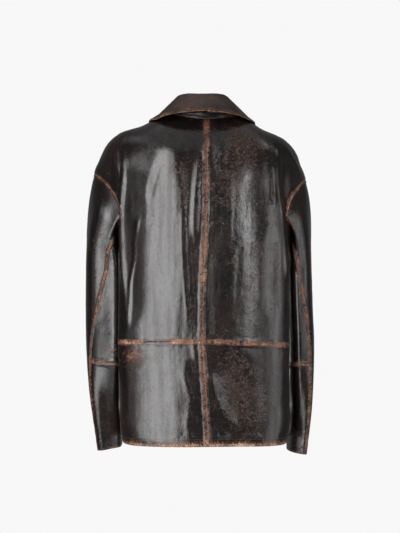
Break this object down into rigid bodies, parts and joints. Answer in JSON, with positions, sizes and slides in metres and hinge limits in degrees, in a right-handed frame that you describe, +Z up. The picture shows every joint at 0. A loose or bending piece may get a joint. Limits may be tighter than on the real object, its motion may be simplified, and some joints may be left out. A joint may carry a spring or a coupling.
{
  "type": "leather coat",
  "caption": "Oversized worn leather coat, hollow as worn: turned-down collar, buttoned front, dropped shoulders, seamed sleeves, waist-seamed back.",
  "frame": {"origin": "midway between the points where the shoulder seams meet the neck, at the height where the wearer's shoulders carry the coat", "axes": "+Z up, -Y the way the coat's front faces, +X the wearer's left"},
  "size_m": [0.5138, 0.2941, 0.8011],
  "materials": {
    "shell_leather": "glossy, crackled and rubbed pale along the seams",
    "collar_leather": "duller and browner, rubbed along the edge",
    "button_horn": "satin"
  },
  "bodies": {
    "root": {"back_upper_left": "shell_leather", "back_upper_right": "shell_leather", "back_lower_left": "shell_leather", "back_lower_right": "shell_leather", "front_left": "shell_leather", "front_right": "shell_leather", "sleeve_left_top": "shell_leather", "sleeve_left_under_upper": "shell_leather", "sleeve_left_under_lower": "shell_leather", "sleeve_right_top": "shell_leather", "sleeve_right_under_upper": "shell_leather", "sleeve_right_under_lower": "shell_leather", "collar_stand": "collar_leather", "collar_leaf": "collar_leather", "button_1": "button_horn", "button_2": "button_horn", "button_3": "button_horn", "button_4": "button_horn", "button_5": "button_horn"}
  },
  "joints": []
}
